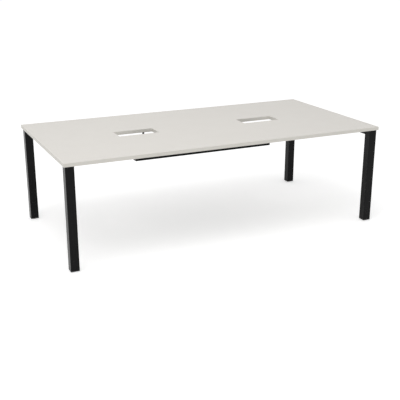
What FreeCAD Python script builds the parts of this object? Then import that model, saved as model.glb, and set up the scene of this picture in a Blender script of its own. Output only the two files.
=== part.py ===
import FreeCAD, Part
import math
import os
import re
import Sketcher

# Large rectangular meeting table, in millimetres.
# The origin is on the floor under the middle of the top, +X runs along the length and the front is -Y.

SIZES = {
    # Top board, its edging and its two cable cut-outs
    "top_length": 2400,
    "top_width": 1200,
    "table_height": 740,
    "top_thickness": 25,
    "band_thickness": 2,
    "band_round": 1,
    "cutout_length": 300,
    "cutout_width": 140,
    "cutout_spacing": 1000,
    "cutout_corner": 6,
    "lining_thickness": 1,
    # Legs of square tube, with a plate welded into the top end
    "leg_side": 60,
    "leg_wall": 2,
    "leg_corner": 3,
    "leg_inset": 10,
    "leg_plate_thickness": 4,
    "leg_plate_crop": 4,
    "weld_gap": 0.2,
    # Beams of rectangular tube, and the plates on the ends of the long ones
    "beam_height": 40,
    "beam_width": 30,
    "beam_wall": 2,
    "beam_corner": 3,
    "long_beam_spacing": 600,
    "beam_plate_thickness": 4,
    "beam_plate_length": 90,
    "beam_plate_crop": 5,
    # Bolts and nuts that hold the end plates to the cross-beams
    "beam_bolt_spacing": 64,
    "beam_bolt_radius": 4,
    "beam_bolt_length": 16,
    "beam_bolt_head_flats": 13,
    "beam_bolt_head_height": 5.3,
    "beam_nut_flats": 13,
    "beam_nut_height": 6.5,
    "bolt_clearance": 0.5,
    "thread_clearance": 0.05,
    # Screws that go up into the top
    "screw_radius": 2.5,
    "screw_depth": 18,
    "screw_head_flats": 8,
    "screw_head_height": 3.5,
    "screw_clearance": 0.5,
    "pilot_clearance": 0.05,
    "pilot_room": 1,
    "cross_screw_spacing": 840,
    "long_screw_step": 700,
    # Cable tray of folded sheet, with its end pieces
    "tray_length": 1100,
    "tray_width": 236,
    "tray_wall_height": 95,
    "tray_drop": 158,
    "tray_sheet": 1.5,
    "tray_bend": 1.5,
    "tray_lip": 12,
    "tray_end_flange": 22,
    "tray_notch_width": 90,
    "tray_notch_depth": 34,
    "tray_notch_corner": 8,
    "slot_length": 60,
    "slot_width": 8,
    "slot_row_spacing": 140,
    "slot_span": 960,
    "slot_count": 7,
    # Hangers of bent strip that carry the tray, and their bolts
    "hanger_spacing": 800,
    "hanger_width": 16,
    "hanger_thickness": 3,
    "hanger_bend": 3,
    "hanger_flange": 48,
    "hanger_screw_near": 20,
    "hanger_screw_far": 38,
    "hanger_bolt_height": 40,
    "hanger_bolt_spacing": 30,
    "hanger_end": 12,
    "hanger_bolt_radius": 2.5,
    "hanger_bolt_length": 12,
    "hanger_bolt_head_flats": 8,
    "hanger_bolt_head_height": 3.5,
    "hanger_nut_flats": 8,
    "hanger_nut_height": 4,
    # Plastic caps in the bottom ends of the legs
    "cap_flange": 8,
    "cap_plug_height": 24,
    "cap_plug_wall": 3,
    "cap_gap": 0.1,
    "cap_floor": 4,
    "cap_boss_side": 26,
    "cap_recess_radius": 9.5,
    "cap_recess_room": 0.5,
    # Levelling feet
    "foot_pad_radius": 20,
    "foot_pad_height": 5,
    "foot_pad_floor": 1.4,
    "foot_pad_lip": 1,
    "foot_rest_gap": 0.3,
    "foot_swivel_gap": 0.2,
    "foot_disc_radius": 8,
    "foot_neck_radius": 4,
    "foot_collar_flats": 14,
    "foot_collar_height": 5,
    "foot_stem_radius": 5,
    "foot_stem_length": 40,
    "foot_bore_clearance": 0.3,
    "foot_nut_flats": 16,
    "foot_nut_height": 8,
    "foot_nut_gap": 0.1,
    "cut_overrun": 1,
}

document = FreeCAD.newDocument("rectangular_table")
sheet = document.addObject("Spreadsheet::Sheet", "Sizes")
for row, (size_name, size_value) in enumerate(SIZES.items(), start=1):
    sheet.set(f"A{row}", size_name)
    sheet.set(f"B{row}", str(size_value))
    sheet.setAlias(f"B{row}", size_name)
document.recompute()

# Formulas that several pieces share
underside = "(table_height - top_thickness)"
cap_base = "(foot_pad_height + foot_rest_gap)"
leg_base = f"({cap_base} + cap_flange)"
leg_x = "(top_length / 2 - leg_inset - leg_side / 2)"
leg_y = "(top_width / 2 - leg_inset - leg_side / 2)"
leg_inner_side = "(leg_side - 2 * leg_wall)"
frame_inner_x = "(top_length / 2 - leg_inset - leg_side)"
cross_beam_x = f"({frame_inner_x} + beam_width / 2)"
cross_beam_length = "(top_width - 2 * leg_inset - 2 * leg_side)"
beam_middle = f"({underside} - beam_height / 2)"
long_beam_y = "(long_beam_spacing / 2)"
tray_base = f"({underside} - tray_drop)"
tray_half = "(tray_width / 2)"
hanger_x = "(hanger_spacing / 2)"
nut_seat = "(cap_flange + cap_floor)"
LEFT_RIGHT = {"left": "-", "right": ""}
FRONT_REAR = {"front": "-", "rear": ""}
HALF_TURN = 180
FULL_TURN = 360
HEX_SIDES = 6
SMALL_ROUND_SIDES = 6
SWIVEL_SIDES = 12
nodes = []


def formula(text):
    """The text with each size's name pointed at the sheet."""
    return re.sub(r"[a-z]+_\w+", r"Sizes.\g<0>", text)


def value(text):
    """What a formula comes to at the sheet's present sizes."""
    return float(sheet.evalExpression(formula(text)))


def bind(thing, setting, text):
    """Tie one setting of a document object to the sheet."""
    thing.setExpression(setting, formula(text))


def new_body(label, place=("0", "0", "0"), turn=0):
    """An empty body for one node, placed by three formulas and turned about the vertical."""
    body = document.addObject("PartDesign::Body", label)
    body.Label = label
    body.Placement.Rotation = FreeCAD.Rotation(FreeCAD.Vector(0, 0, 1), turn)
    for axis, text in zip("xyz", place):
        bind(body, f"Placement.Base.{axis}", text)
    nodes.append(body)
    return body


def origin_feature(body, role):
    """One of a body's own origin planes or axes."""
    return next(feature for feature in body.Origin.OriginFeatures if feature.Role == role)


def new_sketch(body, name, plane="XY_Plane", level="0"):
    """A sketch on one of the body's origin planes, moved along its normal to a level."""
    sketch = body.newObject("Sketcher::SketchObject", name)
    sketch.AttachmentSupport = (origin_feature(body, plane), [""])
    sketch.MapMode = "FlatFace"
    bind(sketch, "AttachmentOffset.Base.z", level)
    return sketch


def hold(sketch, kind, text, *where):
    """Give a sketch one size and tie it to the sheet."""
    index = sketch.addConstraint(Sketcher.Constraint(kind, *where, value(text)))
    sketch.setExpression(f"Constraints[{index}]", formula(text))


def flat(x, y):
    """A point in a sketch's plane."""
    return FreeCAD.Vector(x, y, 0)


def polygon(sketch, points):
    """A closed outline of straight sides through points, each a pair of formulas."""
    spots = [flat(value(x), value(y)) for x, y in points]
    first = sketch.GeometryCount
    for start, end in zip(spots, spots[1:] + spots[:1]):
        sketch.addGeometry(Part.LineSegment(start, end), False)
    for index, (x, y) in enumerate(points):
        side = first + index
        following = first + (index + 1) % len(points)
        sketch.addConstraint(Sketcher.Constraint("Coincident", side, 2, following, 1))
        hold(sketch, "DistanceX", x, -1, 1, side, 1)
        hold(sketch, "DistanceY", y, -1, 1, side, 1)


def outline(sketch, sides, corners):
    """A closed outline of level and upright sides in turn, with round or sharp corners.

    A side is ("x", formula) where it stands upright and ("y", formula) where it lies level.
    Corner number n is where side n meets the next one: a radius, or "0" where it is sharp.
    """
    count = len(sides)
    places = [value(text) for axis, text in sides]
    spots = []
    for index, (axis, text) in enumerate(sides):
        following = places[(index + 1) % count]
        spots.append(flat(places[index], following) if axis == "x" else flat(following, places[index]))
    radii = [value(text) for text in corners]
    runs = [(spots[index] - spots[index - 1]).normalize() for index in range(count)]
    first = sketch.GeometryCount
    for index, (axis, text) in enumerate(sides):
        start = spots[index - 1] + runs[index] * radii[index - 1]
        end = spots[index] - runs[index] * radii[index]
        sketch.addGeometry(Part.LineSegment(start, end), False)
        sketch.addConstraint(Sketcher.Constraint("Vertical" if axis == "x" else "Horizontal", first + index))
    for index, radius in enumerate(radii):
        side = first + index
        following = first + (index + 1) % count
        if radius == 0:
            sketch.addConstraint(Sketcher.Constraint("Coincident", side, 2, following, 1))
            continue
        run_in = runs[index]
        run_out = runs[(index + 1) % count]
        middle = spots[index] - run_in * radius + run_out * radius
        turns_left = run_in.cross(run_out).z > 0
        begin = -run_out if turns_left else run_in
        begin_angle = math.atan2(begin.y, begin.x)
        circle = Part.Circle(middle, FreeCAD.Vector(0, 0, 1), radius)
        bend = sketch.addGeometry(Part.ArcOfCircle(circle, begin_angle, begin_angle + math.pi / 2), False)
        enters, leaves = (1, 2) if turns_left else (2, 1)
        sketch.addConstraint(Sketcher.Constraint("Tangent", side, 2, bend, enters))
        sketch.addConstraint(Sketcher.Constraint("Tangent", bend, leaves, following, 1))
        hold(sketch, "Radius", corners[index], bend)
    for index, (axis, text) in enumerate(sides):
        hold(sketch, "DistanceX" if axis == "x" else "DistanceY", text, -1, 1, first + index, 1)


def rectangle(sketch, across, along, corner="0", middle=("0", "0")):
    """A rectangle about a middle point, with its four corners alike."""
    x, y = middle
    sides = [
        ("y", f"{y} - {along} / 2"),
        ("x", f"{x} + {across} / 2"),
        ("y", f"{y} + {along} / 2"),
        ("x", f"{x} - {across} / 2"),
    ]
    outline(sketch, sides, [corner] * len(sides))


def disc(sketch, radius):
    """A circle about the sketch's origin."""
    circle = Part.Circle(flat(0, 0), FreeCAD.Vector(0, 0, 1), value(radius))
    index = sketch.addGeometry(circle, False)
    sketch.addConstraint(Sketcher.Constraint("Coincident", index, 3, -1, 1))
    hold(sketch, "Radius", radius, index)


def ring(reach, sides, middle):
    """The corners of a regular polygon about a middle point."""
    x, y = middle
    corners = []
    for index in range(sides):
        angle = f"{index * FULL_TURN / sides} deg"
        corners.append((f"{x} + {reach} * cos({angle})", f"{y} + {reach} * sin({angle})"))
    return corners


def hexagon(sketch, flats, middle=("0", "0")):
    """A regular hexagon about a middle point, from its width across flats."""
    polygon(sketch, ring(f"{flats} / sqrt(3)", HEX_SIDES, middle))


def faceted(sketch, radius, middle=("0", "0"), hole=False, sides=SMALL_ROUND_SIDES):
    """A small round drawn with a few flats: inside its radius on a shank, outside it in a hole."""
    reach = f"({radius}) / cos({HALF_TURN / sides} deg)" if hole else f"({radius})"
    polygon(sketch, ring(reach, sides, middle))


def cropped(sketch, across, along, crop):
    """A rectangle about the origin with its four corners cut off."""
    half_x = f"{across} / 2"
    half_y = f"{along} / 2"
    points = []
    for x_sign, y_sign in (("", ""), ("-", ""), ("-", "-"), ("", "-")):
        on_level_side = (f"{x_sign}({half_x} - {crop})", f"{y_sign}({half_y})")
        on_upright_side = (f"{x_sign}({half_x})", f"{y_sign}({half_y} - {crop})")
        corner = [on_upright_side, on_level_side]
        points += corner if x_sign == y_sign else corner[::-1]
    polygon(sketch, points)


def pad(body, name, sketch, length, both_ways=False, backwards=False):
    """Grow a sketch into a solid."""
    feature = body.newObject("PartDesign::Pad", name)
    feature.Profile = sketch
    feature.SideType = "Symmetric" if both_ways else "One side"
    feature.Reversed = backwards
    bind(feature, "Length", length)
    return feature


def pocket(body, name, sketch, depth, both_ways=False, with_normal=False):
    """Cut a sketch into the body, against the sketch's normal unless told otherwise."""
    feature = body.newObject("PartDesign::Pocket", name)
    feature.Profile = sketch
    feature.SideType = "Symmetric" if both_ways else "One side"
    feature.Reversed = with_normal
    bind(feature, "Length", depth)
    return feature


def row_of(body, name, axis, length, count):
    """One step of a pattern: copies in a row along an axis of the body."""
    step = body.newObject("PartDesign::LinearPattern", name)
    step.Direction = (origin_feature(body, axis), [""])
    bind(step, "Length", length)
    bind(step, "Occurrences", count)
    return step


def mirror_of(body, name, plane):
    """One step of a pattern: a mirror image in a plane of the body."""
    step = body.newObject("PartDesign::Mirrored", name)
    step.MirrorPlane = (origin_feature(body, plane), [""])
    return step


def spread(body, name, originals, steps):
    """Repeat features by one or more steps of a pattern."""
    pattern = body.newObject("PartDesign::MultiTransform", name)
    pattern.Originals = originals
    pattern.Transformations = [make(body, *how) for make, *how in steps]
    body.Tip = pattern
    return pattern


def four_ways(*steps):
    """The given steps, then a mirror image front to rear and one left to right."""
    return [*steps, (mirror_of, "front_to_rear", "XZ_Plane"), (mirror_of, "left_to_right", "YZ_Plane")]


def fillet(body, name, base, radius, wanted):
    """Round the edges of the last feature that a test picks."""
    document.recompute()
    picked = [f"Edge{number}" for number, edge in enumerate(base.Shape.Edges, start=1) if wanted(edge)]
    feature = body.newObject("PartDesign::Fillet", name)
    feature.Base = (base, picked)
    bind(feature, "Radius", radius)
    return feature


# Table top: one board with its cut-outs and the pilot holes for every screw that enters it from below
def screw_groups():
    """Each group of screws: where its first one enters the top, its pattern, and what its heads hold up."""
    return {
        "cross_beam_screws": (
            (cross_beam_x, "-cross_screw_spacing / 2"),
            [(row_of, "row", "Y_Axis", "cross_screw_spacing", "2"), (mirror_of, "left_to_right", "YZ_Plane")],
            "beam_height",
        ),
        "long_beam_screws": (
            ("-long_screw_step", long_beam_y),
            [(row_of, "row", "X_Axis", "2 * long_screw_step", "3"), (mirror_of, "front_to_rear", "XZ_Plane")],
            "beam_height",
        ),
        "hanger_screws": (
            (hanger_x, f"{tray_half} + hanger_screw_near"),
            four_ways((row_of, "pair", "Y_Axis", "hanger_screw_far - hanger_screw_near", "2")),
            "hanger_thickness",
        ),
    }


def table_top():
    body = new_body("table_top", ("0", "0", underside))
    board = new_sketch(body, "board_outline")
    rectangle(board, "(top_length - 2 * band_thickness)", "(top_width - 2 * band_thickness)")
    pad(body, "board", board, "top_thickness")
    opening = new_sketch(body, "cutout_outline")
    rectangle(
        opening,
        "(cutout_length + 2 * lining_thickness)",
        "(cutout_width + 2 * lining_thickness)",
        "cutout_corner + lining_thickness",
        ("cutout_spacing / 2", "0"),
    )
    cutout = pocket(body, "cutout", opening, "top_thickness + cut_overrun", with_normal=True)
    spread(body, "cutouts", [cutout], [(mirror_of, "left_to_right", "YZ_Plane")])
    for label, (first, steps, _) in screw_groups().items():
        hole = new_sketch(body, f"{label}_pilot_outline")
        faceted(hole, "screw_radius + pilot_clearance", first, hole=True)
        pilot = pocket(body, f"{label}_pilot", hole, "screw_depth + pilot_room", with_normal=True)
        spread(body, f"{label}_pilots", [pilot], steps)


# Edging: strips glued to the four edges of the board, with their outer edges rounded
def edge_band(label, length, place, turn, rounds_ends):
    body = new_body(label, place, turn)
    section = new_sketch(body, "band_section", "YZ_Plane")
    rectangle(section, "band_thickness", "top_thickness", "0", ("-band_thickness / 2", "top_thickness / 2"))
    strip = pad(body, "strip", section, length, both_ways=True)
    outer = -value("band_thickness")

    def on_outer_face(edge):
        ends = [vertex.Point for vertex in edge.Vertexes]
        upright = abs(ends[0].z - ends[1].z) > value("top_thickness") / 2
        at_outer = all(abs(end.y - outer) < value("band_round") / 2 for end in ends)
        return at_outer and (rounds_ends or not upright)

    fillet(body, "rounded_edges", strip, "band_round", on_outer_face)


def edge_bands():
    inner_x = "(top_length / 2 - band_thickness)"
    inner_y = "(top_width / 2 - band_thickness)"
    short = "(top_width - 2 * band_thickness)"
    quarter = HALF_TURN / 2
    edge_band("front_edge_band", "top_length", ("0", f"-{inner_y}", underside), 0, True)
    edge_band("rear_edge_band", "top_length", ("0", inner_y, underside), HALF_TURN, True)
    edge_band("left_edge_band", short, (f"-{inner_x}", "0", underside), -quarter, False)
    edge_band("right_edge_band", short, (inner_x, "0", underside), quarter, False)


# Linings: thin edging bent round the walls of each cut-out
def cutout_lining(side, x_sign):
    body = new_body(f"{side}_cutout_lining", (f"{x_sign}cutout_spacing / 2", "0", underside))
    section = new_sketch(body, "lining_section")
    outer_length = "(cutout_length + 2 * lining_thickness)"
    outer_width = "(cutout_width + 2 * lining_thickness)"
    rectangle(section, outer_length, outer_width, "cutout_corner + lining_thickness")
    rectangle(section, "cutout_length", "cutout_width", "cutout_corner")
    pad(body, "lining", section, "top_thickness")


# Legs: square tube from the cap up to the underside of the top, and the plate in its top end
def tube_section(sketch, across, along, wall, corner):
    rectangle(sketch, across, along, corner)
    rectangle(sketch, f"({across} - 2 * {wall})", f"({along} - 2 * {wall})")


def leg(place_name, x, y):
    body = new_body(f"{place_name}_leg", (x, y, leg_base))
    section = new_sketch(body, "leg_section")
    tube_section(section, "leg_side", "leg_side", "leg_wall", "leg_corner")
    pad(body, "leg_tube", section, f"{underside} - {leg_base}")
    plate = new_body(f"{place_name}_leg_plate", (x, y, f"{underside} - leg_plate_thickness"))
    square = new_sketch(plate, "leg_plate_outline")
    plate_side = f"({leg_inner_side} - 2 * weld_gap)"
    cropped(square, plate_side, plate_side, "leg_plate_crop")
    pad(plate, "leg_plate", square, "leg_plate_thickness")


# Beams: rectangular tube with a row of screw holes through the lower and the upper wall
def screw_holes(body, axis, length, count):
    """A row of screw holes along a beam, about its middle."""
    start = f"-({length}) / 2"
    hole_outline = new_sketch(body, "screw_hole_outline", level="-beam_height / 2 - cut_overrun / 2")
    middle = (start, "0") if axis == "X_Axis" else ("0", start)
    faceted(hole_outline, "screw_radius + screw_clearance", middle, hole=True)
    hole = pocket(body, "screw_hole", hole_outline, "beam_height + cut_overrun", with_normal=True)
    spread(body, "screw_holes", [hole], [(row_of, "row", axis, length, count)])


def cross_beam(side, x_sign):
    turn = HALF_TURN if x_sign else 0
    body = new_body(f"{side}_cross_beam", (f"{x_sign}{cross_beam_x}", "0", beam_middle), turn)
    section = new_sketch(body, "beam_section", "XZ_Plane")
    tube_section(section, "beam_width", "beam_height", "beam_wall", "beam_corner")
    pad(body, "beam_tube", section, cross_beam_length, both_ways=True)
    screw_holes(body, "Y_Axis", "cross_screw_spacing", "2")
    hole_outline = new_sketch(body, "bolt_hole_outline", "YZ_Plane", "-beam_width / 2 - cut_overrun / 2")
    middle = (f"{long_beam_y} - beam_bolt_spacing / 2", "0")
    faceted(hole_outline, "beam_bolt_radius + bolt_clearance", middle, hole=True)
    hole = pocket(body, "bolt_hole", hole_outline, "beam_wall + cut_overrun", with_normal=True)
    pair = (row_of, "pair", "Y_Axis", "beam_bolt_spacing", "2")
    spread(body, "bolt_holes", [hole], [pair, (mirror_of, "front_to_rear", "XZ_Plane")])


def long_beam(end, y_sign):
    body = new_body(f"{end}_long_beam", ("0", f"{y_sign}{long_beam_y}", beam_middle))
    section = new_sketch(body, "beam_section", "YZ_Plane")
    tube_section(section, "beam_width", "beam_height", "beam_wall", "beam_corner")
    pad(body, "beam_tube", section, f"2 * ({frame_inner_x} - beam_plate_thickness)", both_ways=True)
    screw_holes(body, "X_Axis", "2 * long_screw_step", "3")


def beam_plate(place_name, x_sign, y_sign):
    turn = HALF_TURN if x_sign else 0
    place = (f"{x_sign}{frame_inner_x}", f"{y_sign}{long_beam_y}", beam_middle)
    body = new_body(f"{place_name}_beam_plate", place, turn)
    face = new_sketch(body, "beam_plate_outline", "YZ_Plane")
    cropped(face, "beam_plate_length", "beam_height", "beam_plate_crop")
    pad(body, "beam_plate", face, "beam_plate_thickness", backwards=True)
    hole_outline = new_sketch(body, "bolt_hole_outline", "YZ_Plane")
    faceted(hole_outline, "beam_bolt_radius + bolt_clearance", ("-beam_bolt_spacing / 2", "0"), hole=True)
    hole = pocket(body, "bolt_hole", hole_outline, "beam_plate_thickness + cut_overrun")
    spread(body, "bolt_holes", [hole], [(row_of, "pair", "Y_Axis", "beam_bolt_spacing", "2")])


# Bolts of the end plates, and the nuts welded inside the cross-beams that they enter
def headed(body, kind, length, plane, seat, middle):
    """A hexagon-headed bolt or screw: its shank runs along the plane's normal from under the head."""
    head_outline = new_sketch(body, "head_outline", plane, seat)
    hexagon(head_outline, f"{kind}_head_flats", middle)
    head = pad(body, "head", head_outline, f"{kind}_head_height", backwards=True)
    shank_outline = new_sketch(body, "shank_outline", plane, seat)
    faceted(shank_outline, f"{kind}_radius", middle)
    shank = pad(body, "shank", shank_outline, length)
    return [head, shank]


def nut(body, kind, bolt_radius, plane, seat, middle):
    """A hexagon nut that stands along the plane's normal from its seat."""
    nut_outline = new_sketch(body, "nut_outline", plane, seat)
    hexagon(nut_outline, f"{kind}_flats", middle)
    faceted(nut_outline, f"{bolt_radius} + thread_clearance", middle, hole=True)
    return pad(body, "nut", nut_outline, f"{kind}_height")


def beam_bolts_and_nuts():
    middle = (f"{long_beam_y} - beam_bolt_spacing / 2", "0")
    steps = four_ways((row_of, "pair", "Y_Axis", "beam_bolt_spacing", "2"))
    bolts = new_body("beam_bolts", ("0", "0", beam_middle))
    seat = f"{frame_inner_x} - beam_plate_thickness"
    spread(bolts, "bolts", headed(bolts, "beam_bolt", "beam_bolt_length", "YZ_Plane", seat, middle), steps)
    nuts = new_body("beam_nuts", ("0", "0", beam_middle))
    seat = f"{frame_inner_x} + beam_wall"
    spread(nuts, "nuts", [nut(nuts, "beam_nut", "beam_bolt_radius", "YZ_Plane", seat, middle)], steps)


# Screws: heads below what they hold, shanks up into the top
def screws():
    for label, (first, steps, carried) in screw_groups().items():
        body = new_body(label, ("0", "0", f"{underside} - {carried}"))
        screw = headed(body, "screw", f"{carried} + screw_depth", "XY_Plane", "0", first)
        spread(body, "group", screw, steps)


# Cable tray: one folded sheet with lips turned in along both top edges, and slots for cable ties
def cable_tray():
    body = new_body("cable_tray", ("0", "0", tray_base))
    section = new_sketch(body, "tray_section", "YZ_Plane")
    lip_edge = f"({tray_half} - tray_lip)"
    inner = f"({tray_half} - tray_sheet)"
    outer_bend = "tray_bend + tray_sheet"
    bent_half = [
        (("x", tray_half), outer_bend),
        (("y", "tray_wall_height"), "0"),
        (("x", lip_edge), "0"),
        (("y", "tray_wall_height - tray_sheet"), "tray_bend"),
        (("x", inner), "tray_bend"),
    ]
    right_sides = [side for side, corner in bent_half]
    left_sides = [(axis, f"-{text}" if axis == "x" else text) for axis, text in reversed(right_sides)]
    right_corners = [corner for side, corner in bent_half]
    left_corners = right_corners[-2::-1] + [outer_bend]
    sides = [("y", "0"), *right_sides, ("y", "tray_sheet"), *left_sides]
    corners = [outer_bend, *right_corners, "tray_bend", *left_corners]
    outline(section, sides, corners)
    pad(body, "folded_sheet", section, "tray_length", both_ways=True)
    hole_outline = new_sketch(body, "hanger_hole_outline", "XZ_Plane")
    faceted(hole_outline, "hanger_bolt_radius + bolt_clearance", (hanger_x, "hanger_bolt_height"), hole=True)
    hole = pocket(body, "hanger_hole", hole_outline, "tray_width + cut_overrun", both_ways=True)
    pair = (row_of, "pair", "Z_Axis", "hanger_bolt_spacing", "2")
    spread(body, "hanger_holes", [hole], [pair, (mirror_of, "left_to_right", "YZ_Plane")])
    slot_outline = new_sketch(body, "slot_outline")
    rectangle(slot_outline, "slot_length", "slot_width", "0", ("-slot_span / 2", "slot_row_spacing / 2"))
    slot = pocket(body, "slot", slot_outline, "tray_sheet + cut_overrun", with_normal=True)
    row = (row_of, "row", "X_Axis", "slot_span", "slot_count")
    spread(body, "slots", [slot], [row, (mirror_of, "front_to_rear", "XZ_Plane")])


# Tray ends: folded pieces between the walls, flush with the sheet's ends, notched for the cables
def tray_end(side, x_sign):
    turn = HALF_TURN if x_sign else 0
    bottom = f"({tray_base} + tray_sheet + tray_bend)"
    body = new_body(f"{side}_tray_end", (f"{x_sign}tray_length / 2", "0", bottom), turn)
    height = "(tray_wall_height - 2 * tray_sheet - 2 * tray_bend)"
    half = f"({tray_half} - tray_sheet)"
    outer_bend = "tray_bend + tray_sheet"
    plan = new_sketch(body, "tray_end_plan")
    sides = [
        ("x", "0"),
        ("y", half),
        ("x", "-tray_end_flange"),
        ("y", f"{half} - tray_sheet"),
        ("x", "-tray_sheet"),
        ("y", f"tray_sheet - {half}"),
        ("x", "-tray_end_flange"),
        ("y", f"-{half}"),
    ]
    corners = [outer_bend, "0", "0", "tray_bend", "tray_bend", "0", "0", outer_bend]
    outline(plan, sides, corners)
    pad(body, "folded_end", plan, height)
    notch = new_sketch(body, "notch_outline", "YZ_Plane")
    sides = [
        ("y", f"{height} - tray_notch_depth"),
        ("x", "tray_notch_width / 2"),
        ("y", f"{height} + cut_overrun"),
        ("x", "-tray_notch_width / 2"),
    ]
    outline(notch, sides, ["tray_notch_corner", "0", "0", "tray_notch_corner"])
    body.Tip = pocket(body, "cable_notch", notch, "2 * (tray_sheet + cut_overrun)", both_ways=True)


# Hangers: bent strip with its foot screwed up to the top and its strap bolted to the tray wall
def tray_hanger(place_name, x_sign, y_sign):
    turn = HALF_TURN if y_sign else 0
    place = (f"{x_sign}{hanger_x}", f"{y_sign}{tray_half}", underside)
    body = new_body(f"{place_name}_tray_hanger", place, turn)
    section = new_sketch(body, "hanger_section", "YZ_Plane")
    strap_end = "(hanger_bolt_height - hanger_end - tray_drop)"
    sides = [
        ("y", "0"),
        ("x", "0"),
        ("y", strap_end),
        ("x", "hanger_thickness"),
        ("y", "-hanger_thickness"),
        ("x", "hanger_flange"),
    ]
    corners = ["hanger_bend + hanger_thickness", "0", "0", "hanger_bend", "0", "0"]
    outline(section, sides, corners)
    pad(body, "bent_strip", section, "hanger_width", both_ways=True)
    screw_hole_outline = new_sketch(body, "screw_hole_outline")
    faceted(screw_hole_outline, "screw_radius + screw_clearance", ("0", "hanger_screw_near"), hole=True)
    screw_hole = pocket(body, "screw_hole", screw_hole_outline, "hanger_thickness + cut_overrun")
    pair = (row_of, "pair", "Y_Axis", "hanger_screw_far - hanger_screw_near", "2")
    spread(body, "screw_holes", [screw_hole], [pair])
    bolt_hole_outline = new_sketch(body, "bolt_hole_outline", "XZ_Plane")
    lower = ("0", "hanger_bolt_height - tray_drop")
    faceted(bolt_hole_outline, "hanger_bolt_radius + bolt_clearance", lower, hole=True)
    bolt_hole = pocket(body, "bolt_hole", bolt_hole_outline, "hanger_thickness + cut_overrun")
    spread(body, "bolt_holes", [bolt_hole], [(row_of, "pair", "Z_Axis", "hanger_bolt_spacing", "2")])


def hanger_bolts_and_nuts():
    base = ("0", "0", f"{tray_base} + hanger_bolt_height")
    lower = (hanger_x, "0")
    steps = four_ways((row_of, "pair", "Z_Axis", "hanger_bolt_spacing", "2"))
    bolts = new_body("hanger_bolts", base)
    seat = f"-({tray_half} + hanger_thickness)"
    spread(bolts, "bolts", headed(bolts, "hanger_bolt", "hanger_bolt_length", "XZ_Plane", seat, lower), steps)
    nuts = new_body("hanger_nuts", base)
    seat = f"tray_sheet - {tray_half}"
    spread(nuts, "nuts", [nut(nuts, "hanger_nut", "hanger_bolt_radius", "XZ_Plane", seat, lower)], steps)


# Leg caps: a square flange that closes the tube, and a hollow plug with a boss that holds the foot's nut
def leg_cap(place_name, x, y):
    body = new_body(f"{place_name}_leg_cap", (x, y, cap_base))
    flange_outline = new_sketch(body, "cap_flange_outline")
    rectangle(flange_outline, "leg_side", "leg_side", "leg_corner")
    pad(body, "flange", flange_outline, "cap_flange")
    plug_outline = new_sketch(body, "plug_outline", level="cap_flange")
    plug_side = f"({leg_inner_side} - 2 * cap_gap)"
    rectangle(plug_outline, plug_side, plug_side)
    pad(body, "plug", plug_outline, "cap_plug_height")
    hollow_outline = new_sketch(body, "hollow_outline", level="cap_flange + cap_plug_height")
    hollow_side = f"({plug_side} - 2 * cap_plug_wall)"
    rectangle(hollow_outline, hollow_side, hollow_side)
    rectangle(hollow_outline, "cap_boss_side", "cap_boss_side")
    pocket(body, "hollow", hollow_outline, "cap_plug_height - cap_floor")
    seat_outline = new_sketch(body, "nut_seat_outline", level=nut_seat)
    hexagon(seat_outline, "(foot_nut_flats + 2 * foot_nut_gap)")
    pocket(body, "nut_seat", seat_outline, "cap_plug_height + cut_overrun", with_normal=True)
    bore_outline = new_sketch(body, "bore_outline")
    faceted(bore_outline, "foot_stem_radius + foot_bore_clearance", hole=True, sides=SWIVEL_SIDES)
    pocket(body, "bore", bore_outline, f"{nut_seat} + cut_overrun", with_normal=True)
    recess_outline = new_sketch(body, "collar_recess_outline")
    faceted(recess_outline, "cap_recess_radius", hole=True, sides=SWIVEL_SIDES)
    recess_depth = "foot_collar_height + cap_recess_room"
    body.Tip = pocket(body, "collar_recess", recess_outline, recess_depth, with_normal=True)


# Levelling feet: the stem turns in the nut and in its pad, and carries the pad up and down
def foot_nuts():
    body = new_body("foot_nuts", ("0", "0", f"{cap_base} + {nut_seat}"))
    first = nut(body, "foot_nut", "foot_stem_radius", "XY_Plane", "0", (leg_x, leg_y))
    spread(body, "nuts", [first], four_ways())


def foot_pad(place_name, x, y):
    body = new_body(f"{place_name}_foot_pad", (x, y, "0"))
    disc_outline = new_sketch(body, "pad_outline")
    disc(disc_outline, "foot_pad_radius")
    pad(body, "pad", disc_outline, "foot_pad_height")
    neck_outline = new_sketch(body, "neck_hole_outline", level="foot_pad_height")
    faceted(neck_outline, "foot_neck_radius + foot_swivel_gap", hole=True, sides=SWIVEL_SIDES)
    pocket(body, "neck_hole", neck_outline, "foot_pad_height - foot_pad_floor")
    socket_outline = new_sketch(body, "socket_outline", level="foot_pad_height - foot_pad_lip")
    faceted(socket_outline, "foot_disc_radius + foot_swivel_gap", hole=True, sides=SWIVEL_SIDES)
    body.Tip = pocket(body, "socket", socket_outline, "foot_pad_height - foot_pad_lip - foot_pad_floor")


def foot_stem(place_name, x, y):
    body = new_body(f"{place_name}_foot_stem", (x, y, "0"))
    disc_base = "(foot_pad_floor + foot_swivel_gap)"
    disc_top = "(foot_pad_height - foot_pad_lip - foot_swivel_gap)"
    collar_top = f"({cap_base} + foot_collar_height)"
    disc_outline = new_sketch(body, "disc_outline", level=disc_base)
    faceted(disc_outline, "foot_disc_radius", sides=SWIVEL_SIDES)
    pad(body, "disc", disc_outline, f"{disc_top} - {disc_base}")
    neck_outline = new_sketch(body, "neck_outline", level=disc_top)
    faceted(neck_outline, "foot_neck_radius", sides=SWIVEL_SIDES)
    pad(body, "neck", neck_outline, f"{cap_base} - {disc_top}")
    collar_outline = new_sketch(body, "collar_outline", level=cap_base)
    hexagon(collar_outline, "foot_collar_flats")
    pad(body, "collar", collar_outline, "foot_collar_height")
    thread_outline = new_sketch(body, "thread_outline", level=collar_top)
    faceted(thread_outline, "foot_stem_radius", sides=SWIVEL_SIDES)
    body.Tip = pad(body, "thread", thread_outline, "foot_stem_length")


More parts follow.
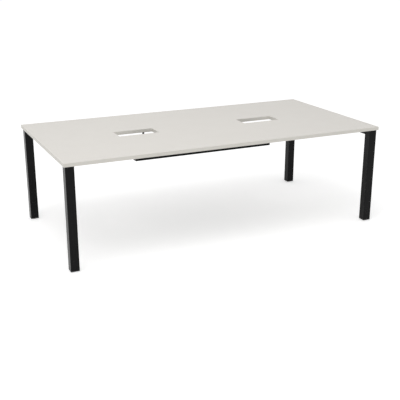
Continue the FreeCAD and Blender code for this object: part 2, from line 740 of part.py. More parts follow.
table_top()
edge_bands()
for side, x_sign in LEFT_RIGHT.items():
    cutout_lining(side, x_sign)
    cross_beam(side, x_sign)
    tray_end(side, x_sign)
for end, y_sign in FRONT_REAR.items():
    long_beam(end, y_sign)
    for side, x_sign in LEFT_RIGHT.items():
        corner_name = f"{end}_{side}"
        corner_place = (f"{x_sign}{leg_x}", f"{y_sign}{leg_y}")
        leg(corner_name, *corner_place)
        leg_cap(corner_name, *corner_place)
        foot_pad(corner_name, *corner_place)
        foot_stem(corner_name, *corner_place)
        beam_plate(corner_name, x_sign, y_sign)
        tray_hanger(corner_name, x_sign, y_sign)
beam_bolts_and_nuts()
screws()
cable_tray()
hanger_bolts_and_nuts()
foot_nuts()
document.recompute()

# Every object has to be sound, and every cut has to take something away, before anything is written
for thing in document.Objects:
    if "Invalid" in thing.State or "Error" in thing.State:
        raise RuntimeError(f"{thing.Label} failed to build")
    if thing.TypeId == "PartDesign::Pocket" and thing.Shape.Volume >= thing.BaseFeature.Shape.Volume:
        raise RuntimeError(f"{thing.Label} cuts nothing")
for node in nodes:
    if node.Shape.isNull() or not node.Shape.isValid():
        raise RuntimeError(f"{node.Label} has no valid shape")

os.makedirs("parts", exist_ok=True)
for node in nodes:
    node.Shape.exportStep(f"parts/{node.Label}.step")
    print(f"{node.Label}: {len(node.Shape.Solids)} solids, {node.Shape.Volume:.0f} cubic mm")
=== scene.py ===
import math

import bmesh
import bpy
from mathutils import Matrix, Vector


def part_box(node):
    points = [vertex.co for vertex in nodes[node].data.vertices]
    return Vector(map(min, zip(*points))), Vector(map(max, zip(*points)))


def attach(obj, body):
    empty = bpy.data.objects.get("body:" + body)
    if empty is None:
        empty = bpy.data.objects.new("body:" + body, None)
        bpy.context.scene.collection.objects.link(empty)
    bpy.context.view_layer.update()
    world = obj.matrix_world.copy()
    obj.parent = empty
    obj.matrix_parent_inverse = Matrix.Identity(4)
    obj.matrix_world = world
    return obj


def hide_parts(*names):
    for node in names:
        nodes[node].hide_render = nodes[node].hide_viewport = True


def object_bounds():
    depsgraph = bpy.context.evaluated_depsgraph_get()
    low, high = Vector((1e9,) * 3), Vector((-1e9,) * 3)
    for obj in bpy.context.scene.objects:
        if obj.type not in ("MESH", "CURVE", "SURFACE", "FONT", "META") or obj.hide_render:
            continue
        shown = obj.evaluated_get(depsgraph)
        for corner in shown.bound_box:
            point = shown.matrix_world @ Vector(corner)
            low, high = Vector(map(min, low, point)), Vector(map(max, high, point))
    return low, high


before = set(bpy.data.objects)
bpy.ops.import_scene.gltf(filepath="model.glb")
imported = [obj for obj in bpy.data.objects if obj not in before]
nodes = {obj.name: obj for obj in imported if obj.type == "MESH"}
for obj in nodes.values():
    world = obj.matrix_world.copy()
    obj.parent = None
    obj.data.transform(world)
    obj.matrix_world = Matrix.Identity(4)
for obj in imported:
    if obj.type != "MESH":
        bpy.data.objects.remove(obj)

cad_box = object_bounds()
bpy.context.scene.view_settings.view_transform = "Standard"

# Leg frames: at each end of the table two square tube legs, joined under the top by a rectangular tube.
# The steel is welded with a rippled bead along the open sides of each joint, then powder coated black,
# which leaves a dull skin with a fine orange peel. Small plates close the top ends of the legs.
CORNERS = [f"{end}_{side}" for end in ("front", "rear") for side in ("left", "right")]
COAT_FINISH = {"dark": (0.0030, 0.0030, 0.0033), "light": (0.0052, 0.0052, 0.0056), "patches": 18,
               "rough": (0.20, 0.30), "gloss_grain": 140, "depth": 0.00010, "specular": 0.12}
SHADE_ENDS = (0.3, 0.7)
PATCH_DETAIL = 4
PEEL_GRAIN = 900
PEEL_DETAIL = 3
RELIEF_STRENGTH = 0.4
BEAD = {"Bead Radius": 0.0026, "Ripple": 0.18, "Ripple Length": 0.0022, "Taper": 0.004}
BEAD_END_SHARE = 0.2
BEAD_SIDES = 10
RIPPLE_STEPS = 4
TUBE_CORNER = 0.003
CORNER_STEPS = 4
SHARP_EDGE = math.radians(32)


def add(tree, kind, feeds=None, **settings):
    """A node in a tree, with its settings and with a value or a link on each input named in feeds."""
    made = tree.nodes.new(kind)
    for setting, value in settings.items():
        setattr(made, setting, value)
    for socket, feed in (feeds or {}).items():
        if isinstance(feed, bpy.types.Node):
            feed = feed.outputs[0]
        if isinstance(feed, bpy.types.NodeSocket):
            tree.links.new(feed, made.inputs[socket])
        else:
            made.inputs[socket].default_value = feed
    return made


def grain(tree, per_metre, detail=2, stretch=(1, 1, 1)):
    """Noise on the piece's own coordinates, so many grains to the metre, stretched along its axes."""
    place = add(tree, "ShaderNodeTexCoord")
    scaled = add(tree, "ShaderNodeMapping", {"Vector": place.outputs["Object"], "Scale": stretch})
    return add(tree, "ShaderNodeTexNoise", {"Vector": scaled, "Scale": per_metre, "Detail": detail})


def surface(name, relief, dark, light, patches, rough, gloss_grain, depth, specular=0.5, metallic=0.0):
    """A finish: two shades in patches, two degrees of roughness in a finer grain, and a raised texture.

    Patches and gloss grain are counted to the metre, and depth is the height of the relief in metres.
    """
    finish = bpy.data.materials.new(name)
    finish.use_nodes = True
    tree = finish.node_tree
    shader = tree.nodes["Principled BSDF"]
    shader.inputs["Specular IOR Level"].default_value = specular
    shader.inputs["Metallic"].default_value = metallic
    ramp = add(tree, "ShaderNodeValToRGB", {"Fac": grain(tree, patches, detail=PATCH_DETAIL)})
    for element, position, shade in zip(ramp.color_ramp.elements, SHADE_ENDS, (dark, light)):
        element.position = position
        element.color = (*shade, 1)
    spread = {"Value": grain(tree, gloss_grain), "To Min": rough[0], "To Max": rough[1]}
    dull = add(tree, "ShaderNodeMapRange", spread)
    raised = {"Height": relief(tree), "Distance": depth, "Strength": RELIEF_STRENGTH}
    bump = add(tree, "ShaderNodeBump", raised)
    for socket, source in (("Base Color", ramp), ("Roughness", dull), ("Normal", bump)):
        tree.links.new(source.outputs[0], shader.inputs[socket])
    return finish


def dress(finish, *names):
    """Give a finish to CAD nodes that keep their own shape."""
    for name in names:
        for holder in nodes[name].material_slots:
            holder.material = finish


def each_corner(piece):
    """The names of a piece that every corner of the table has."""
    return [f"{corner}_{piece}" for corner in CORNERS]


def orange_peel(tree):
    """The fine waves that powder leaves when it melts and sets."""
    return grain(tree, PEEL_GRAIN, detail=PEEL_DETAIL)


coat = surface("black_powder_coat", orange_peel, **COAT_FINISH)
dress(coat, *each_corner("leg"), *each_corner("leg_plate"), "left_cross_beam", "right_cross_beam")


def size_tree(name, *labels):
    """An empty geometry tree with named sizes and a finish as its inputs; gives it and those inputs."""
    tree = bpy.data.node_groups.new(name, "GeometryNodeTree")
    tree.interface.new_socket("Geometry", in_out="INPUT", socket_type="NodeSocketGeometry")
    for label in labels:
        tree.interface.new_socket(label, in_out="INPUT", socket_type="NodeSocketFloat")
    tree.interface.new_socket("Finish", in_out="INPUT", socket_type="NodeSocketMaterial")
    tree.interface.new_socket("Geometry", in_out="OUTPUT", socket_type="NodeSocketGeometry")
    return tree, tree.nodes.new("NodeGroupInput").outputs


def end_tree(tree, given, shape):
    """Make a tree's instances real, give them the finish and send them out."""
    real = add(tree, "GeometryNodeRealizeInstances", {"Geometry": shape})
    dressed = add(tree, "GeometryNodeSetMaterial", {"Geometry": real, "Material": given["Finish"]})
    add(tree, "NodeGroupOutput", {"Geometry": dressed})


def sums(tree, operation, first, second=0.0):
    """Arithmetic in a tree: one operation on one or two values."""
    return add(tree, "ShaderNodeMath", {0: first, 1: second}, operation=operation)


def bake(name, tree, carrier, finish, sizes):
    """The plain mesh that a tree makes from a carrier mesh, as a piece at the origin."""
    piece = bpy.data.objects.new(name, carrier)
    bpy.context.scene.collection.objects.link(piece)
    build = piece.modifiers.new("build", "NODES")
    build.node_group = tree
    sockets = {item.name: item.identifier for item in tree.interface.items_tree if item.in_out == "INPUT"}
    build[sockets["Finish"]] = finish
    for label, size in sizes.items():
        build[sockets[label]] = size
    evaluated = piece.evaluated_get(bpy.context.evaluated_depsgraph_get())
    shape = bpy.data.meshes.new_from_object(evaluated)
    piece.modifiers.remove(build)
    piece.data = shape
    shape.shade_smooth()
    shape.set_sharp_from_angle(angle=SHARP_EDGE)
    return piece


def weld_tree():
    """A bead along each run of the carrier's edges, rippled as the pool sets and thinner at both ends."""
    tree, given = size_tree("weld_bead", *BEAD)
    run = add(tree, "GeometryNodeMeshToCurve", {"Mesh": given["Geometry"]})
    step = sums(tree, "DIVIDE", given["Ripple Length"], RIPPLE_STEPS)
    fine_run = add(tree, "GeometryNodeResampleCurve", {"Curve": run, "Length": step}, mode="LENGTH")
    along = add(tree, "GeometryNodeSplineParameter").outputs["Length"]
    half_turns = sums(tree, "DIVIDE", along, given["Ripple Length"])
    wave = sums(tree, "ABSOLUTE", sums(tree, "SINE", sums(tree, "MULTIPLY", half_turns, math.pi)))
    hollow = sums(tree, "MULTIPLY", sums(tree, "SUBTRACT", 1.0, wave), given["Ripple"])
    full = sums(tree, "SUBTRACT", 1.0, hollow)
    rest = sums(tree, "SUBTRACT", add(tree, "GeometryNodeSplineLength"), along)
    from_end = sums(tree, "DIVIDE", sums(tree, "MINIMUM", along, rest), given["Taper"])
    rounded = sums(tree, "SQRT", sums(tree, "MINIMUM", from_end, 1.0))
    swell = sums(tree, "MAXIMUM", rounded, BEAD_END_SHARE)
    thickness = sums(tree, "MULTIPLY", full, swell)
    ring = {"Resolution": BEAD_SIDES, "Radius": given["Bead Radius"]}
    circle = add(tree, "GeometryNodeCurvePrimitiveCircle", ring)
    swept = {"Curve": fine_run, "Profile Curve": circle, "Scale": thickness, "Fill Caps": True}
    end_tree(tree, given, add(tree, "GeometryNodeCurveToMesh", swept))
    return tree


def add_to_frame(piece):
    """Let a coated piece ride on the frame."""
    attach(piece, "frame")


def weld(name, runs):
    """Coated weld beads along runs of points, as one piece on the frame."""
    points = []
    edges = []
    for run in runs:
        first = len(points)
        edges += [(first + step, first + step + 1) for step in range(len(run) - 1)]
        points += run
    carrier = bpy.data.meshes.new(name)
    carrier.from_pydata(points, edges, [])
    add_to_frame(bake(name, weld_bead, carrier, coat, BEAD))


def leg_joint_runs():
    """Where each cross-beam meets its legs: down its outer side, round the corner and along its bottom."""
    runs = []
    for side, inwards in (("left", 1), ("right", -1)):
        low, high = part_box(f"{side}_cross_beam")
        outer, inner = (low.x, high.x) if side == "left" else (high.x, low.x)
        section = [(outer, high.z - TUBE_CORNER)]
        for step in range(CORNER_STEPS + 1):
            angle = math.pi / 2 * step / CORNER_STEPS
            across = outer + inwards * TUBE_CORNER * (1 - math.cos(angle))
            section.append((across, low.z + TUBE_CORNER * (1 - math.sin(angle))))
        section.append((inner - inwards * 2 * TUBE_CORNER, low.z))
        for end in (low.y, high.y):
            runs.append([(x, end, z) for x, z in section])
    return runs


weld_bead = weld_tree()
weld("leg_joint_welds", leg_joint_runs())

# Long beams: two rectangular tubes under the top from one leg frame to the other, with a plate welded
# on each end. Two flanged M8 bolts go through each plate into nuts inside the cross-beam.
# Beams and plates are coated with the leg frames; bolts and nuts are bright zinc plated.
ZINC_FINISH = {"dark": (0.50, 0.51, 0.52), "light": (0.66, 0.65, 0.61), "patches": 220,
               "rough": (0.24, 0.40), "gloss_grain": 900, "depth": 0.00002, "metallic": 1.0}
MOTTLE_GRAIN = 1500
BEAM_BOLT = {"Across Flats": 0.013, "Head Height": 0.0053, "Flange Radius": 0.0086, "Flange Height": 0.0014,
             "Shank Radius": 0.004, "Shank Length": 0.016, "Plain Length": 0.002, "Pitch": 0.00125}
HEXAGON = 6
CORNER_PER_FLAT = 1 / math.sqrt(3)
HEAD_CUT_SHARE = 0.88
HEAD_CHAMFER_SHARE = 0.16
FLANGE_RIM_SHARE = 0.4
FLANGE_SIDES = 32
SHANK_SIDES = 20
SHANK_TIP_SHARE = 0.8
THREAD_DEPTH_SHARE = 0.5
THREAD_STEPS = 20
RIDGE_SIDES = 4
SPIN_SEED = 7
# The sockets of a random value that hold a plain number: its least, its greatest and the one drawn
SPIN_LOW, SPIN_HIGH, SPIN_DRAWN = 2, 3, 1
MERGE_GAP = 0.000002


def plate_joint_runs():
    """Up both sides of each long beam, where it meets its end plates."""
    runs = []
    for end in ("front", "rear"):
        low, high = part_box(f"{end}_long_beam")
        for x in (low.x, high.x):
            for y in (low.y, high.y):
                runs.append([(x, y, low.z + TUBE_CORNER), (x, y, high.z - TUBE_CORNER)])
    return runs


def plating_mottle(tree):
    """The faint unevenness of a plated surface."""
    return grain(tree, MOTTLE_GRAIN)


zinc = surface("zinc_plate", plating_mottle, **ZINC_FINISH)
dress(coat, "front_long_beam", "rear_long_beam", *each_corner("beam_plate"))
dress(zinc, "beam_nuts")
weld("beam_plate_welds", plate_joint_runs())


def ringed(tree, sides, rings):
    """A closed solid of stacked rings, each a radius and a height, from the bottom ring to the top one."""
    last = len(rings) - 1
    tube = {"Vertices": sides, "Side Segments": last, "Radius": 1.0, "Depth": 1.0}
    stack = add(tree, "GeometryNodeMeshCylinder", tube, fill_type="NGON")
    place = add(tree, "ShaderNodeSeparateXYZ", {"Vector": add(tree, "GeometryNodeInputPosition")})
    share = sums(tree, "ADD", place.outputs["Z"], tube["Depth"] / 2)
    ring = sums(tree, "ROUND", sums(tree, "MULTIPLY", share, last))
    chosen = []
    for values in zip(*rings):
        choice = tree.nodes.new("GeometryNodeIndexSwitch")
        choice.data_type = "FLOAT"
        while len(choice.index_switch_items) < len(rings):
            choice.index_switch_items.new()
        tree.links.new(ring.outputs[0], choice.inputs["Index"])
        for number, value in enumerate(values):
            tree.links.new(sums(tree, "ADD", value).outputs[0], choice.inputs[number + 1])
        chosen.append(choice)
    radius, height = chosen
    wide = [sums(tree, "MULTIPLY", place.outputs[axis], radius) for axis in ("X", "Y")]
    moved = add(tree, "ShaderNodeCombineXYZ", {"X": wide[0], "Y": wide[1], "Z": height})
    return add(tree, "GeometryNodeSetPosition", {"Geometry": stack, "Position": moved})


def thread_core(tree, radius, pitch):
    """The radius at the bottom of the grooves of a thread."""
    return sums(tree, "SUBTRACT", radius, sums(tree, "MULTIPLY", pitch, THREAD_DEPTH_SHARE))


def thread(tree, radius, bottom, length, pitch):
    """A right-handed thread ridge whose crest is at a radius, from a height up along a length."""
    depth = sums(tree, "MULTIPLY", pitch, THREAD_DEPTH_SHARE)
    core = thread_core(tree, radius, pitch)
    turns = sums(tree, "DIVIDE", length, pitch)
    coil = {"Resolution": THREAD_STEPS, "Rotations": turns, "Start Radius": core, "End Radius": core,
            "Height": length}
    path = add(tree, "GeometryNodeCurveSpiral", coil)
    upright = add(tree, "GeometryNodeSetCurveNormal", {"Curve": path}, mode="Z_UP")
    ridge = add(tree, "GeometryNodeCurvePrimitiveCircle", {"Resolution": RIDGE_SIDES, "Radius": depth})
    swept = {"Curve": upright, "Profile Curve": ridge, "Fill Caps": True}
    winding = add(tree, "GeometryNodeCurveToMesh", swept)
    lift = add(tree, "ShaderNodeCombineXYZ", {"Z": bottom})
    return add(tree, "GeometryNodeTransform", {"Geometry": winding, "Translation": lift})


def joined(tree, *shapes):
    """Several shapes as one geometry."""
    union = tree.nodes.new("GeometryNodeJoinGeometry")
    for shape in shapes:
        tree.links.new(shape.outputs[0], union.inputs[0])
    return union


def set_on_seats(tree, given, shape):
    """The shape on each point of the carrier, its top along the point's axis, turned as it came to rest."""
    axis = add(tree, "GeometryNodeInputNamedAttribute", {"Name": "axis"}, data_type="FLOAT_VECTOR")
    aimed = add(tree, "FunctionNodeAlignRotationToVector", {"Vector": axis}, axis="Z")
    full_turn = {SPIN_LOW: 0.0, SPIN_HIGH: math.tau, "Seed": SPIN_SEED}
    spin = add(tree, "FunctionNodeRandomValue", full_turn, data_type="FLOAT").outputs[SPIN_DRAWN]
    turn = add(tree, "FunctionNodeAxisAngleToRotation", {"Axis": (0, 0, 1), "Angle": spin})
    both = {"Rotation": aimed, "Rotate By": turn}
    rested = add(tree, "FunctionNodeRotateRotation", both, rotation_space="LOCAL")
    spread = {"Points": given["Geometry"], "Instance": shape, "Rotation": rested}
    end_tree(tree, given, add(tree, "GeometryNodeInstanceOnPoints", spread))


def bolt_tree():
    """A flanged hexagon bolt: its seat at height zero, its head above it and its threaded shank below."""
    tree, given = size_tree("flanged_bolt", *BEAM_BOLT)
    corner = sums(tree, "MULTIPLY", given["Across Flats"], CORNER_PER_FLAT)
    cut_corner = sums(tree, "MULTIPLY", corner, HEAD_CUT_SHARE)
    chamfer = sums(tree, "MULTIPLY", given["Head Height"], HEAD_CHAMFER_SHARE)
    shoulder = sums(tree, "SUBTRACT", given["Head Height"], chamfer)
    foot = sums(tree, "MULTIPLY", given["Flange Height"], FLANGE_RIM_SHARE)
    head = ringed(tree, HEXAGON, [(corner, foot), (corner, shoulder), (cut_corner, given["Head Height"])])
    rim = given["Flange Radius"]
    flange = ringed(tree, FLANGE_SIDES, [(rim, 0.0), (rim, foot), (cut_corner, given["Flange Height"])])
    core = thread_core(tree, given["Shank Radius"], given["Pitch"])
    tip = sums(tree, "MULTIPLY", given["Shank Length"], -1.0)
    taper = sums(tree, "ADD", tip, given["Pitch"])
    plain = sums(tree, "MULTIPLY", given["Plain Length"], -1.0)
    point = sums(tree, "MULTIPLY", core, SHANK_TIP_SHARE)
    neck = given["Shank Radius"]
    shank_rings = [(point, tip), (core, taper), (core, plain), (neck, plain), (neck, foot)]
    shank = ringed(tree, SHANK_SIDES, shank_rings)
    turns_along = sums(tree, "SUBTRACT", plain, taper)
    ridge = thread(tree, given["Shank Radius"], taper, turns_along, given["Pitch"])
    set_on_seats(tree, given, joined(tree, head, flange, shank, ridge))
    return tree


def loose_solids(name):
    """The lowest and highest corner of each separate solid in a CAD node."""
    merged = bmesh.new()
    merged.from_mesh(nodes[name].data)
    bmesh.ops.remove_doubles(merged, verts=merged.verts, dist=MERGE_GAP)
    seen = set()
    boxes = []
    for start in merged.verts:
        if start in seen:
            continue
        seen.add(start)
        island = [start]
        for vert in island:
            fresh = [edge.other_vert(vert) for edge in vert.link_edges]
            fresh = [other for other in fresh if other not in seen]
            seen.update(fresh)
            island += fresh
        columns = list(zip(*(vert.co for vert in island)))
        low = Vector([min(column) for column in columns])
        high = Vector([max(column) for column in columns])
        boxes.append((low, high))
    merged.free()
    return boxes


def carrier_of(name, seats):
    """A mesh with a point for each seat, which is a place and the axis that points out of it."""
    carrier = bpy.data.meshes.new(name)
    carrier.from_pydata([place for place, axis in seats], [], [])
    stored = carrier.attributes.new("axis", "FLOAT_VECTOR", "POINT")
    for entry, (place, axis) in zip(stored.data, seats):
        entry.vector = axis
    return carrier


def seats_in(name, depth, facing):
    """A seat for each solid of a CAD group, so far under the end that faces outwards."""
    seats = []
    for low, high in loose_solids(name):
        middle = (low + high) / 2
        axis = Vector(facing(middle))
        reach = sum(abs(part) * half for part, half in zip(axis, (high - low) / 2))
        seats.append((middle + axis * (reach - depth), axis))
    return carrier_of(name, seats)


def stand_for(piece, node, body):
    """Let a finished piece take the place of a CAD node, on its body and with its finish."""
    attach(piece, body)
    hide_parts(node)


def fasten(group, tree, sizes, depth, facing):
    """Zinc-plated fasteners in the places of a CAD group, as one piece on the frame."""
    fasteners = bake(f"plated_{group}", tree, seats_in(group, depth, facing), zinc, sizes)
    stand_for(fasteners, group, "frame")


def to_middle(place):
    """Along the table, towards its middle."""
    return (-math.copysign(1, place.x), 0, 0)


flanged_bolt = bolt_tree()
fasten("beam_bolts", flanged_bolt, BEAM_BOLT, BEAM_BOLT["Head Height"], to_middle)

# Leg caps: square end pieces moulded in black polyamide and driven into the open ends of the legs.
# Their flange is flush with the tube, and the spark-eroded mould leaves it dry and finely pitted.
CAP_FINISH = {"dark": (0.0040, 0.0040, 0.0040), "light": (0.0070, 0.0070, 0.0070), "patches": 60,
              "rough": (0.52, 0.64), "gloss_grain": 400, "depth": 0.00005, "specular": 0.25}
PIT_GRAIN = 1400


def spark_texture(tree):
    """The fine pits that a spark-eroded mould leaves."""
    place = add(tree, "ShaderNodeTexCoord")
    return add(tree, "ShaderNodeTexVoronoi", {"Vector": place.outputs["Object"], "Scale": PIT_GRAIN})


cap_plastic = surface("cap_polyamide", spark_texture, **CAP_FINISH)
dress(cap_plastic, *each_corner("leg_cap"))

# Levelling feet: under each leg a round pad of dark polyamide with a rounded rim, in which the disc of a
# zinc-plated stem is held so that it can turn. The stem has a hexagon for the spanner and an M10 thread,
# which screws up into a nut in the leg cap; turning it raises or lowers that corner of the table.
PAD_FINISH = {"dark": (0.0080, 0.0080, 0.0080), "light": (0.0140, 0.0140, 0.0140), "patches": 90,
              "rough": (0.48, 0.62), "gloss_grain": 500, "depth": 0.00005, "specular": 0.3}
PAD = {"Radius": 0.020, "Height": 0.005, "Rim": 0.0012, "Neck Hole": 0.0042, "Socket Radius": 0.0082,
       "Socket Floor": 0.0014, "Socket Roof": 0.0040}
PAD_SIDES = 64
LOW_RIM_SHARE = 0.3
RIM_STEPS = 4
STEM = {"Disc Radius": 0.008, "Disc Bottom": 0.0016, "Disc Top": 0.0038, "Neck Radius": 0.004,
        "Collar Bottom": 0.0053, "Collar Top": 0.0103, "Across Flats": 0.014, "Thread Radius": 0.005,
        "Stem Top": 0.0503, "Pitch": 0.0015}
STEM_SIDES = 32
STEM_TIP_SHARE = 0.82
COLLAR_CUT_SHARE = 0.92
COLLAR_CHAMFER_SHARE = 0.06


def pad_tree():
    """A turned pad: flat bottom, rounded rim, and a socket with an overhanging lip for the stem's disc."""
    tree, given = size_tree("turned_pad", *PAD)
    straight = sums(tree, "SUBTRACT", given["Radius"], given["Rim"])
    low_rim = sums(tree, "MULTIPLY", given["Rim"], LOW_RIM_SHARE)
    rings = [(sums(tree, "SUBTRACT", given["Radius"], low_rim), 0.0), (given["Radius"], low_rim)]
    spring = sums(tree, "SUBTRACT", given["Height"], given["Rim"])
    for step in range(RIM_STEPS + 1):
        angle = math.pi / 2 * step / RIM_STEPS
        out = sums(tree, "MULTIPLY", given["Rim"], math.cos(angle))
        rise = sums(tree, "MULTIPLY", given["Rim"], math.sin(angle))
        rings.append((sums(tree, "ADD", straight, out), sums(tree, "ADD", spring, rise)))
    rings += [(given["Neck Hole"], given["Height"]), (given["Neck Hole"], given["Socket Roof"])]
    rings += [(given["Socket Radius"], given["Socket Roof"]), (given["Socket Radius"], given["Socket Floor"])]
    set_on_seats(tree, given, ringed(tree, PAD_SIDES, rings))
    return tree


def stem_tree():
    """A levelling stem: disc, neck, hexagon collar and thread, from the bottom up."""
    tree, given = size_tree("levelling_stem", *STEM)
    core = thread_core(tree, given["Thread Radius"], given["Pitch"])
    blunt = sums(tree, "MULTIPLY", core, STEM_TIP_SHARE)
    shoulder = sums(tree, "SUBTRACT", given["Stem Top"], given["Pitch"])
    rings = [(given["Disc Radius"], given["Disc Bottom"]), (given["Disc Radius"], given["Disc Top"])]
    rings += [(given["Neck Radius"], given["Disc Top"]), (given["Neck Radius"], given["Collar Bottom"])]
    rings += [(core, given["Collar Bottom"]), (core, shoulder), (blunt, given["Stem Top"])]
    corner = sums(tree, "MULTIPLY", given["Across Flats"], CORNER_PER_FLAT)
    cut_corner = sums(tree, "MULTIPLY", corner, COLLAR_CUT_SHARE)
    chamfer = sums(tree, "MULTIPLY", corner, COLLAR_CHAMFER_SHARE)
    low_edge = sums(tree, "ADD", given["Collar Bottom"], chamfer)
    high_edge = sums(tree, "SUBTRACT", given["Collar Top"], chamfer)
    collar_rings = [(cut_corner, given["Collar Bottom"]), (corner, low_edge), (corner, high_edge),
                    (cut_corner, given["Collar Top"])]
    body = ringed(tree, STEM_SIDES, rings)
    collar = ringed(tree, HEXAGON, collar_rings)
    length = sums(tree, "SUBTRACT", shoulder, given["Collar Top"])
    ridge = thread(tree, given["Thread Radius"], given["Collar Top"], length, given["Pitch"])
    set_on_seats(tree, given, joined(tree, body, collar, ridge))
    return tree


def upwards(place):
    """Straight up, wherever the piece is."""
    return (0, 0, 1)


def make_foot_piece(corner, part, new_name, tree, finish, sizes):
    """A piece of a foot, built up from the floor in the place of its CAD node and moving on its own body."""
    node = f"{corner}_foot_{part}"
    seat = seats_in(node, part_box(node)[1].z, upwards)
    piece = bake(f"{corner}_{new_name}", tree, seat, finish, sizes)
    stand_for(piece, node, f"{corner}_{part}")


pad_plastic = surface("pad_polyamide", spark_texture, **PAD_FINISH)
turned_pad = pad_tree()
levelling_stem = stem_tree()
for corner in CORNERS:
    make_foot_piece(corner, "pad", "turned_pad", turned_pad, pad_plastic, PAD)
    make_foot_piece(corner, "stem", "levelling_stem", levelling_stem, zinc, STEM)
dress(zinc, "foot_nuts")

# Top: a 25 mm chipboard faced on both sides with off-white melamine, which has a fine pearl texture.
# The board is one piece, with both cable cut-outs routed through it, and lies on the beams.
MELAMINE_FINISH = {"dark": (0.674, 0.650, 0.610), "light": (0.684, 0.661, 0.622), "patches": 7,
                   "rough": (0.44, 0.54), "gloss_grain": 260, "depth": 0.00008, "specular": 0.3}
PEARL_GRAIN = 1300
PEARL_DETAIL = 3


def pearl(tree):
    """The fine pearl texture pressed into the melamine."""
    return grain(tree, PEARL_GRAIN, detail=PEARL_DETAIL)


melamine = surface("off_white_melamine", pearl, **MELAMINE_FINISH)
dress(melamine, "table_top")

# Edging: 2 mm off-white plastic strips glued round the board, with their outer edges rounded over.
# The walls of the cut-outs are lined with a thinner strip of the same plastic.
EDGING_FINISH = {"dark": (0.736, 0.713, 0.656), "light": (0.760, 0.737, 0.682), "patches": 12,
                 "rough": (0.38, 0.48), "gloss_grain": 300, "depth": 0.00003}
LINE_GRAIN = 2200
DRAWN_OUT = (0.08, 0.08, 1)


def drawn_lines(tree):
    """The faint lines along a strip that was drawn through a die."""
    return grain(tree, LINE_GRAIN, stretch=DRAWN_OUT)


edging = surface("edging_plastic", drawn_lines, **EDGING_FINISH)
dress(edging, *(f"{side}_edge_band" for side in ("front", "rear", "left", "right")))
dress(edging, "left_cutout_lining", "right_cutout_lining")

# Frame screws: long hexagon-headed wood screws, up through the beams into the top.
# They are zinc plated, with a coarse thread in the board and a pressed flange under the head.
FRAME_SCREW = {"Across Flats": 0.008, "Head Height": 0.0035, "Flange Radius": 0.0058, "Flange Height": 0.0011,
               "Shank Radius": 0.0024, "Shank Length": 0.058, "Plain Length": 0.040, "Pitch": 0.0016}


def downwards(place):
    """Straight down, wherever the piece is."""
    return (0, 0, -1)


for group in ("cross_beam_screws", "long_beam_screws"):
    fasten(group, flanged_bolt, FRAME_SCREW, FRAME_SCREW["Head Height"], downwards)

# Cable tray: sheet steel folded into a long trough with turned-in lips and slots for cable ties.
# Folded ends are spot welded between its walls, which leaves small round dents on the outside,
# and all of it is coated like the frame.
SPOT = {"Spot Radius": 0.0031, "Rim Radius": 0.0026, "Dent Radius": 0.0018, "Rim Height": 0.00018,
        "Dent Height": 0.00004, "Sink": -0.0005}
SPOT_SIDES = 28
SPOT_HEIGHT_SHARES = (0.18, 0.5, 0.82)


def spot_tree():
    """A spot weld as the electrode leaves it: a shallow round dent inside a raised rim."""
    tree, given = size_tree("spot_weld", *SPOT)
    rings = [(given["Spot Radius"], given["Sink"]), (given["Spot Radius"], 0.0)]
    rings += [(given["Rim Radius"], given["Rim Height"]), (given["Dent Radius"], given["Dent Height"])]
    set_on_seats(tree, given, ringed(tree, SPOT_SIDES, rings))
    return tree


def spot_seats():
    """A column of spots on both walls of the tray, over the middle of each end's flanges."""
    walls = [(corner.y, (0, math.copysign(1, corner.y), 0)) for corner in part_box("cable_tray")]
    seats = []
    for side in ("left", "right"):
        low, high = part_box(f"{side}_tray_end")
        for share in SPOT_HEIGHT_SHARES:
            for y, axis in walls:
                seats.append((((low.x + high.x) / 2, y, low.z + share * (high.z - low.z)), axis))
    return carrier_of("tray_end_spot_welds", seats)


dress(coat, "cable_tray", "left_tray_end", "right_tray_end")
add_to_frame(bake("tray_end_spot_welds", spot_tree(), spot_seats(), coat, SPOT))

# Tray hangers: four bent steel straps, coated like the tray. Each is held up to the top by two wood screws,
# and two M5 bolts go through it and the wall of the tray, with nuts on the inside.
HANGER_SCREW = {**FRAME_SCREW, "Shank Length": 0.021, "Plain Length": 0.003}
HANGER_BOLT = {"Across Flats": 0.008, "Head Height": 0.0035, "Flange Radius": 0.0057, "Flange Height": 0.001,
               "Shank Radius": 0.0025, "Shank Length": 0.012, "Plain Length": 0.001, "Pitch": 0.0008}
HANGER_NUT = {"Across Flats": 0.008, "Height": 0.004}
NUT_CUT_SHARE = 0.9
NUT_EDGE_SHARE = 0.4


def nut_tree():
    """A hexagon nut with its corners cut back at both ends, centred on its seat."""
    tree, given = size_tree("hexagon_nut", *HANGER_NUT)
    corner = sums(tree, "MULTIPLY", given["Across Flats"], CORNER_PER_FLAT)
    cut_corner = sums(tree, "MULTIPLY", corner, NUT_CUT_SHARE)
    end = sums(tree, "DIVIDE", given["Height"], 2)
    edge = sums(tree, "MULTIPLY", given["Height"], NUT_EDGE_SHARE)
    low_end = sums(tree, "MULTIPLY", end, -1.0)
    low_edge = sums(tree, "MULTIPLY", edge, -1.0)
    rings = [(cut_corner, low_end), (corner, low_edge), (corner, edge), (cut_corner, end)]
    set_on_seats(tree, given, ringed(tree, HEXAGON, rings))
    return tree


def off_the_tray(place):
    """Across the table, away from the middle of the tray."""
    return (0, math.copysign(1, place.y), 0)


dress(coat, *each_corner("tray_hanger"))
fasten("hanger_screws", flanged_bolt, HANGER_SCREW, HANGER_SCREW["Head Height"], downwards)
fasten("hanger_bolts", flanged_bolt, HANGER_BOLT, HANGER_BOLT["Head Height"], off_the_tray)
fasten("hanger_nuts", nut_tree(), HANGER_NUT, HANGER_NUT["Height"] / 2, off_the_tray)

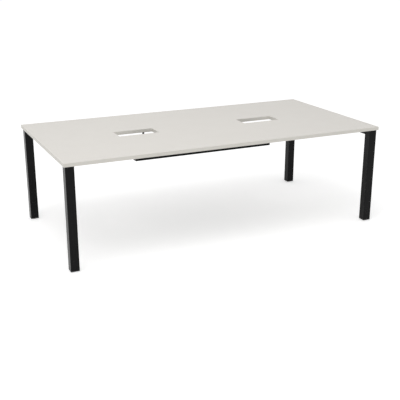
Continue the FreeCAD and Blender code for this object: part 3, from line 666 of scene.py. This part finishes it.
# Floor: plain white paper, seen as white by the camera and in reflections, and darker in the table's shadow.
# From below it is clear, so that the underside of the table can be looked at.
FLOOR_HALF = 40.0
FLOOR_DROP = 0.0003
FLOOR_SHADE = (0.80, 0.80, 0.80, 1)
FLOOR_GLOW = 0.47
WHITE = (1, 1, 1, 1)


def seen_or_mirrored(tree):
    """One for rays from the camera, from gloss and through glass, and zero for the rest."""
    path = add(tree, "ShaderNodeLightPath").outputs
    either = sums(tree, "MAXIMUM", path["Is Camera Ray"], path["Is Glossy Ray"])
    return sums(tree, "MAXIMUM", either, path["Is Transmission Ray"])


def paper():
    """Matt white paper that glows a little where it is seen, and can be seen through from below."""
    finish = bpy.data.materials.new("floor_paper")
    finish.use_nodes = True
    tree = finish.node_tree
    tree.nodes.clear()
    matt = add(tree, "ShaderNodeBsdfDiffuse", {"Color": FLOOR_SHADE})
    strength = sums(tree, "MULTIPLY", seen_or_mirrored(tree), FLOOR_GLOW)
    glow = add(tree, "ShaderNodeEmission", {"Color": WHITE, "Strength": strength})
    lit = add(tree, "ShaderNodeAddShader", {0: matt, 1: glow})
    below = add(tree, "ShaderNodeNewGeometry").outputs["Backfacing"]
    clear = add(tree, "ShaderNodeBsdfTransparent")
    either = add(tree, "ShaderNodeMixShader", {0: below, 1: lit, 2: clear})
    add(tree, "ShaderNodeOutputMaterial", {"Surface": either})
    return finish


sheet = bpy.data.meshes.new("floor")
level = cad_box[0].z - FLOOR_DROP
ends = [(x * FLOOR_HALF, y * FLOOR_HALF, level) for x, y in ((-1, -1), (1, -1), (1, 1), (-1, 1))]
sheet.from_pydata(ends, [], [range(len(ends))])
sheet.materials.append(paper())
floor = bpy.data.objects.new("floor", sheet)
bpy.context.scene.collection.objects.link(floor)

# Light: a room that is white all round where the camera or a reflection shows it, and dimmer as a light.
# One large soft lamp hangs high over the left end of the table and makes that end a little paler.
ROOM_STRENGTH = 0.70
SEEN_STRENGTH = 1.0
LAMP_PLACE = (-1.6, -1.4, 4.9)
LAMP_AIM = (-0.3, 0, 0.7)
LAMP_SIDE = 3.0
LAMP_WATTS = 81

room = bpy.data.worlds.new("room")
bpy.context.scene.world = room
room.use_nodes = True
around = room.node_tree
around.nodes.clear()
dim = add(around, "ShaderNodeBackground", {"Color": WHITE, "Strength": ROOM_STRENGTH})
bright = add(around, "ShaderNodeBackground", {"Color": WHITE, "Strength": SEEN_STRENGTH})
all_round = add(around, "ShaderNodeMixShader", {0: seen_or_mirrored(around), 1: dim, 2: bright})
add(around, "ShaderNodeOutputWorld", {"Surface": all_round})

lamp = bpy.data.lights.new("left_lamp", "AREA")
lamp.shape = "SQUARE"
lamp.size = LAMP_SIDE
lamp.energy = LAMP_WATTS
lamp_holder = bpy.data.objects.new("left_lamp", lamp)
lamp_holder.location = LAMP_PLACE
lamp_holder.rotation_euler = (Vector(LAMP_AIM) - Vector(LAMP_PLACE)).to_track_quat("-Z", "Y").to_euler()
bpy.context.scene.collection.objects.link(lamp_holder)

# Camera: where the photograph was taken from, worked out from the corners of the top and of the legs.
# The picture is square, 400 by 400, and the lens is given for a square frame.
CAMERA_PLACE = (-2.3170, -4.9705, 1.9914)
CAMERA_TURN = math.radians(25.086)
CAMERA_DIP = math.radians(18.540)
FRAME_MM = 36.0
PICTURE_PIXELS = 400
FOCAL_PIXELS = 746.8

lens = bpy.data.cameras.new("camera")
lens.sensor_width = FRAME_MM
lens.lens = FRAME_MM * FOCAL_PIXELS / PICTURE_PIXELS
camera = bpy.data.objects.new("camera", lens)
camera.location = CAMERA_PLACE
camera.rotation_euler = (math.pi / 2 - CAMERA_DIP, 0, -CAMERA_TURN)
bpy.context.scene.collection.objects.link(camera)
bpy.context.scene.camera = camera
